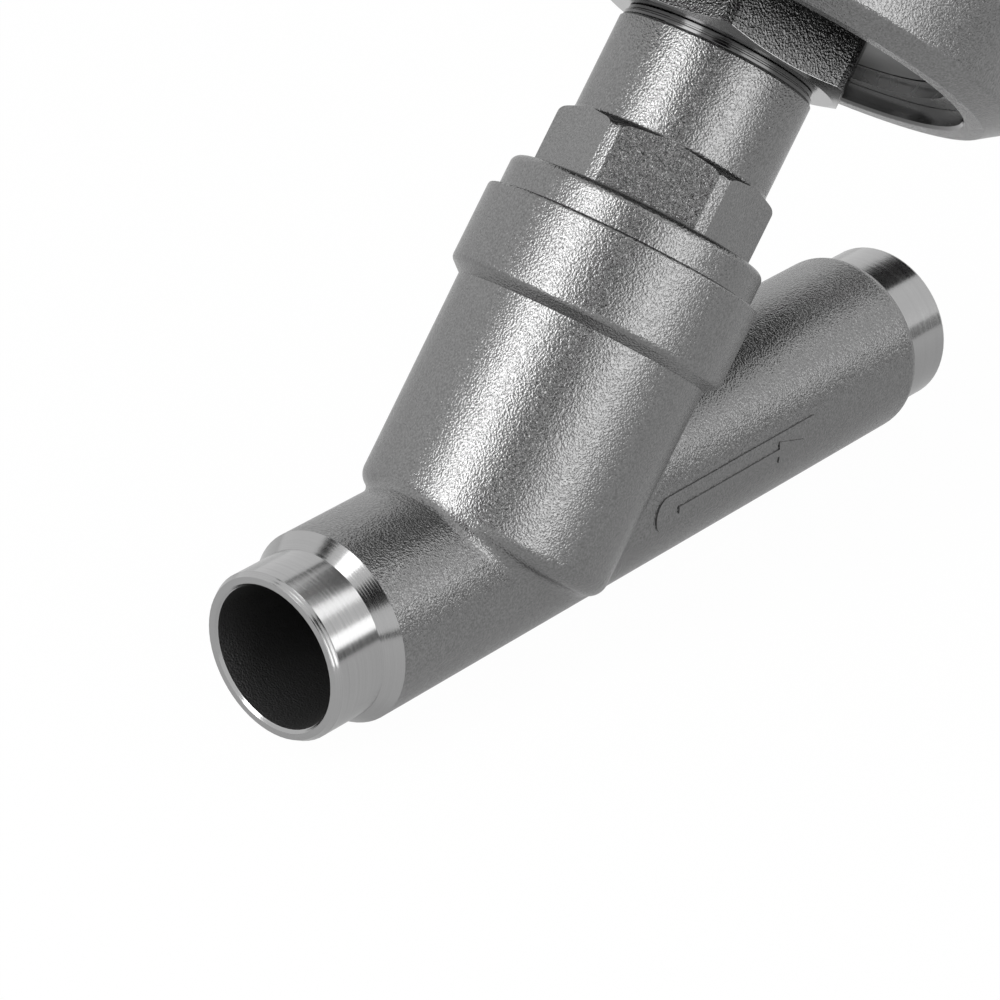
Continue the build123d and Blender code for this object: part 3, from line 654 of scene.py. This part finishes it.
def sintered(name, colour):
    material, tree, shader = new_material(name, roughness=0.45, colour=colour)
    balls = tree.nodes.new("ShaderNodeTexVoronoi")
    balls.inputs["Scale"].default_value = 1.0 / ball_size
    tree.links.new(object_place(tree), balls.inputs["Vector"])
    distance_to_ball = balls.outputs["Distance"]
    dome = math_node(tree, "SUBTRACT", 1.0, math_node(tree, "POWER", distance_to_ball, 2.0))
    # The gaps between the balls are painted darker: painted shade.
    gap_shade = spread(tree, distance_to_ball, 0.35, 0.75)
    tree.links.new(bump(tree, dome, ball_height), shader.inputs["Normal"])
    tree.links.new(mix(tree, "RGBA", gap_shade, colour, shade(colour, 0.6)), shader.inputs["Base Color"])
    return material


vent_brass = sintered("vent_brass", (0.58, 0.42, 0.19, 1.0))
print("made", vent_brass.name)

# %% [markdown]
# **Clear cap.** The cap over the position indicator is moulded polycarbonate. Full transmission with
# that plastic's index of refraction makes it, and a slow, shallow bump bends the light a little, as
# the flow of the melt does in every thick clear moulding.

# %% Clear plastic
flow_size = 4.0 * MM
flow_depth = 0.01 * MM


def clear_plastic(name, colour):
    material, tree, shader = new_material(name, metallic=0.0, roughness=0.06, colour=colour)
    shader.inputs["Transmission Weight"].default_value = 1.0
    shader.inputs["IOR"].default_value = 1.58
    flow = noise(tree, object_place(tree), 1.0 / flow_size, detail=1.0, roughness=0.4)
    tree.links.new(bump(tree, flow, flow_depth), shader.inputs["Normal"])
    return material


cap_plastic = clear_plastic("cap_plastic", (0.93, 0.95, 0.95, 1.0))
print("made", cap_plastic.name)

# %% [markdown]
# ## Which piece gets which finish
# The names of the CAD nodes say what each piece is, so a table from node to finish dresses them all.
# Groups of like pieces are filled in by loops, and what is left over is soft: black rubber where the
# name tells of a seal that moves, white PTFE elsewhere.

# %% Table of finishes
finish_of = {
    "valve_body": body_steel,
    "bonnet": bonnet_steel,
    "actuator_base": base_steel,
    "actuator_cylinder": pot_steel,
    "gland_ring": ring_steel,
    "stem": stem_steel,
    "indicator_rod": stem_steel,
    "piston": piston_metal,
    "guide_bush": bush_bronze,
    "gland_bush": bush_bronze,
    "vent_filter": vent_brass,
    "indicator_cap": cap_plastic,
    "indicator_sleeve": orange_plastic,
}
for node in ("plug_disc", "plug_clamp", "plug_nut", "piston_nut"):
    finish_of[node] = bar_steel
for node in ("packing_spring", "outer_spring", "inner_spring"):
    finish_of[node] = wire_steel
for node in ("retaining_ring", "swivel_snap_ring"):
    finish_of[node] = bright_spring
for node in nodes:
    if node not in finish_of:
        rubber = any(word in node for word in ("oring", "wiper", "piston_seal"))
        finish_of[node] = black_rubber if rubber else ptfe

# %% Dress every node
for node, material in finish_of.items():
    slots = nodes[node].data.materials
    slots.clear()
    slots.append(material)
print("finishes:", len(set(material.name for material in finish_of.values())))

# %% [markdown]
# ## Closing springs
# Two nested springs stand between the piston and the crown of the pot, and shorten as the valve
# opens. The frame's own springs are rigid, so each one is replaced by a wound coil on the actuator's
# body. A curve with a round bevel could make the coil too. Here a circle of wire is spun round the
# neck's axis with a small rise at every step, which gives even faces, and two cuts grind its ends flat.

# %% Measures of the springs
end_gap = 0.03 * MM
weld_distance = 0.001 * MM
wire_sides = 12
steps_per_turn = 32


def outer_radius_of(node):
    """Largest distance from the neck axis that a CAD node reaches."""
    offsets = [vertex.co - neck_root for vertex in nodes[node].data.vertices]
    return max((offset - neck_axis * offset.dot(neck_axis)).length for offset in offsets)


# %% Wire wound into a coil
def wound_wire(shape, mean_radius, wire, turns, low, high):
    """Winds a round wire about the neck axis from one level to another."""
    across = Matrix.Rotation(math.pi / 2, 4, "X")
    lift = Matrix.Translation((mean_radius, 0.0, low + wire / 4))
    upright = neck_axis.to_track_quat("Z", "Y").to_matrix().to_4x4()
    place = Matrix.Translation(neck_root) @ upright @ lift @ across
    bmesh.ops.create_circle(shape, segments=wire_sides, radius=wire / 2)
    bmesh.ops.transform(shape, matrix=place, verts=shape.verts)
    steps = round(turns * steps_per_turn)
    bmesh.ops.spin(
        shape,
        geom=shape.verts[:] + shape.edges[:],
        cent=neck_root,
        axis=neck_axis,
        dvec=neck_axis * (high - low - wire / 2) / steps,
        angle=turns * 2.0 * math.pi,
        steps=steps,
    )


# %% Ends ground flat
def close_holes(shape):
    """Puts a face in every open loop of edges."""
    bmesh.ops.holes_fill(shape, edges=[edge for edge in shape.edges if edge.is_boundary])


def grind_end(shape, level, outwards):
    """Cuts away what lies past a level, and closes the cut."""
    everything = shape.verts[:] + shape.edges[:] + shape.faces[:]
    plane = neck_root + neck_axis * level
    bmesh.ops.bisect_plane(shape, geom=everything, plane_co=plane, plane_no=outwards, clear_outer=True)
    bmesh.ops.remove_doubles(shape, verts=shape.verts, dist=weld_distance)
    close_holes(shape)


# %% One closing spring
def make_closing_spring(name, node, wire, turns):
    """Coil in the place of a CAD node, attached to the actuator's body."""
    low, high = level_of(node)
    low += end_gap
    high -= end_gap
    shape = bmesh.new()
    wound_wire(shape, outer_radius_of(node) - wire / 2, wire, turns, low, high)
    close_holes(shape)
    grind_end(shape, low, -neck_axis)
    grind_end(shape, high, neck_axis)
    bmesh.ops.recalc_face_normals(shape, faces=shape.faces)
    for face in shape.faces:
        face.smooth = len(face.verts) == 4
    mesh = bpy.data.meshes.new(name)
    shape.to_mesh(mesh)
    shape.free()
    mesh.materials.append(wire_steel)
    coil = bpy.data.objects.new(name, mesh)
    bpy.context.scene.collection.objects.link(coil)
    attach(coil, "actuator")
    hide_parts(node)
    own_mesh(coil)


make_closing_spring("outer_closing_spring", "outer_spring", wire=3.0 * MM, turns=4.5)
make_closing_spring("inner_closing_spring", "inner_spring", wire=2.2 * MM, turns=6.0)

# %% [markdown]
# ## Light
# The room is white in every direction that a ray can look, so a metal shows about the colour that it
# is given. Rays that only carry diffuse light find a dimmer room, which keeps pale pieces from
# washing out. Light Path tells the two kinds apart.

# %% Room
diffuse_room = 0.7


def make_room():
    room = bpy.data.worlds.new("white_room")
    room.use_nodes = True
    tree = room.node_tree
    background = tree.nodes["Background"]
    background.inputs["Color"].default_value = grey(1.0)
    path = tree.nodes.new("ShaderNodeLightPath")
    seen = math_node(tree, "MAXIMUM", path.outputs["Is Camera Ray"], path.outputs["Is Glossy Ray"])
    seen = math_node(tree, "MAXIMUM", seen, path.outputs["Is Transmission Ray"])
    strength = spread(tree, seen, 0.0, 1.0, diffuse_room, 1.0)
    tree.links.new(strength, background.inputs["Strength"])
    return room


bpy.context.scene.world = make_room()
print("room:", bpy.context.scene.world.name)

# %% [markdown]
# ** Floor.** A pale matt sheet lies just under the valve. For the camera nearly all of its light is its
# own glow, so it stays white and still keeps a trace of shadow. Metal that mirrors it sees a duller
# sheet, painted grey as shade under the valve, since the underside of a shiny pipe would vanish if it
# mirrored pure white.

# %% Floor
floor_size = 12.0
floor_drop = 0.5 * MM
glow_for_camera = 0.98
glow_for_mirrors = 0.4
floor_grey = 0.9
mirrored_shade_grey = 0.6


def make_floor_finish():
    material, tree, shader = new_material("floor_white", metallic=0.0, roughness=0.9)
    glow = tree.nodes.new("ShaderNodeEmission")
    glow.inputs["Color"].default_value = grey(1.0)
    path = tree.nodes.new("ShaderNodeLightPath")
    mirrored = path.outputs["Is Glossy Ray"]
    straight = math_node(tree, "MAXIMUM", path.outputs["Is Camera Ray"], path.outputs["Is Transmission Ray"])
    plain_share = math_node(tree, "MULTIPLY", straight, glow_for_camera)
    share = mix(tree, "FLOAT", mirrored, plain_share, glow_for_mirrors)
    # Mirrors see the floor painted a darker grey: painted shade under the valve.
    paint = mix(tree, "RGBA", mirrored, grey(floor_grey), grey(mirrored_shade_grey))
    blend = tree.nodes.new("ShaderNodeMixShader")
    tree.links.new(paint, shader.inputs["Base Color"])
    tree.links.new(share, blend.inputs[0])
    tree.links.new(shader.outputs[0], blend.inputs[1])
    tree.links.new(glow.outputs[0], blend.inputs[2])
    tree.links.new(blend.outputs[0], tree.nodes["Material Output"].inputs["Surface"])
    return material


# %% Flat sheets for the studio
def studio_sheet(name, size, material):
    """A flat rectangle in the studio, which isn't part of the valve."""
    shape = bmesh.new()
    bmesh.ops.create_grid(shape, x_segments=1, y_segments=1, size=0.5)
    bmesh.ops.scale(shape, verts=shape.verts, vec=(size[0], size[1], 1.0))
    mesh = bpy.data.meshes.new(name)
    shape.to_mesh(mesh)
    shape.free()
    mesh.materials.append(material)
    sheet = bpy.data.objects.new(name, mesh)
    bpy.context.scene.collection.objects.link(sheet)
    return sheet


floor = studio_sheet("floor", (floor_size, floor_size), make_floor_finish())
floor.location.z = cad_box[0].z - floor_drop
print("floor at", round(floor.location.z / MM, 2), "mm")

# %% [markdown]
# **Lamps.** Large softboxes draw the bright bands on the neck and on the pipe. A round bar mirrors
# the room in narrow stripes, so each box is placed by the stripe that it draws: its direction sets
# where the band lies, its width sets how broad it is. Strength is counted in times brighter than the
# room, which stays the same when a box changes its size.

# %% Lamps
neck_middle = neck_root + neck_axis * 30.0 * MM
pipe_front = Vector((10.0, 0.0, 0.0)) * MM
outlet_end = Vector((100.0, 0.0, 0.0)) * MM


def aim(thing, direction, distance, target):
    """Puts a lamp or card at a distance from the target, with its face towards it."""
    direction = Vector(direction).normalized()
    thing.location = target + direction * distance
    thing.rotation_mode = "QUATERNION"
    thing.rotation_quaternion = direction.to_track_quat("Z", "Y")


def softbox(name, direction, size, strength, target=neck_middle, distance=0.9):
    """Area lamp; its strength is how many times brighter than the room it looks in a mirror."""
    data = bpy.data.lights.new(name, "AREA")
    data.shape = "RECTANGLE"
    data.size, data.size_y = size
    data.energy = strength * size[0] * size[1] * math.pi
    lamp = bpy.data.objects.new(name, data)
    bpy.context.scene.collection.objects.link(lamp)
    aim(lamp, direction, distance, target)
    print(name, "gives", round(data.energy, 2), "W")


softbox("key", (-0.877, 0.136, 0.46), (0.35, 0.8), 5.4)
softbox("side", (-0.11, -0.985, 0.14), (0.45, 0.8), 2.2)
softbox("low_far", (0.59, -0.75, 0.30), (0.28, 0.19), 1.8, pipe_front, distance=0.8)
softbox("crown", (-0.45, 0.07, 0.89), (0.27, 0.2), 3.4, inlet_face)
softbox("high_far", (0.56, -0.38, 0.74), (0.24, 0.19), 1.35, pipe_front, distance=0.8)

# %% [markdown]
# **Cards.** Black cards stand between and beside the lamps, as in any metal shop's studio: a shiny
# cylinder needs something dark to mirror, or it looks like paper. Only reflections see them. They
# throw no shadow and the camera looks through them. A card may be a gauze, which stops only a share
# of the light behind it.


# %% Cards
def card(name, direction, size, target, darkness=1.0, distance=0.7):
    """Black card or gauze that only reflections see; darkness is the share of light that it stops."""
    black, tree, shader = new_material(name + "_black", metallic=0.0, roughness=1.0, colour=grey(0.0))
    shader.inputs["Specular IOR Level"].default_value = 0.0
    shader.inputs["Alpha"].default_value = darkness
    board = studio_sheet(name, size, black)
    aim(board, direction, distance, target)
    board.visible_camera = False
    board.visible_shadow = False
    print(name, "stops", darkness, "of the light")


card("camera_card", (-0.54, -0.54, 0.645), (0.2, 0.29), look_at, distance=0.62)
card("front_card", (0.64, -0.76, 0.06), (0.35, 0.15), pipe_front, darkness=0.8)
card("left_card", (-0.465, -0.885, -0.03), (0.17, 0.16), inlet_face)
card("far_card", (0.7, 0.19, 0.67), (0.5, 0.2), outlet_end)
card("back_card", (-0.31, 0.53, 0.785), (0.17, 0.14), inlet_face)

# %% [markdown]
# ## Finish
# The Standard view shows a colour as it was written.

# %% View settings and finish
bpy.context.scene.view_settings.view_transform = "Standard"
